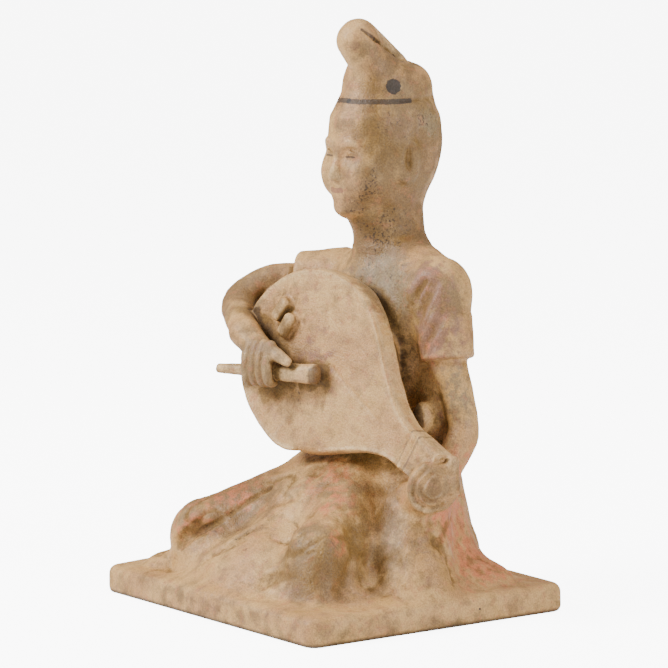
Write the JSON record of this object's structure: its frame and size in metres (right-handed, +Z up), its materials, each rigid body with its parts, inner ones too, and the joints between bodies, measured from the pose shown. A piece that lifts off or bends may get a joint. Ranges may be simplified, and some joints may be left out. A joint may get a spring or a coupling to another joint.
{
  "type": "lute player figurine",
  "caption": "Earthenware figurine of a kneeling musician with a high crest of hair, playing a pear-shaped lute with a plectrum, on a flat rectangular slab.",
  "frame": {"origin": "centre of the slab's underside, on the ground", "axes": "+Z up; the figure faces -Y and its left hand side is +X"},
  "size_m": [0.1262, 0.1088, 0.2009],
  "materials": {
    "earthenware": "matt unglazed clay with worn pigment and an uneven tan patina"
  },
  "bodies": {
    "root": {"lute_player_figurine": "earthenware"}
  },
  "joints": []
}
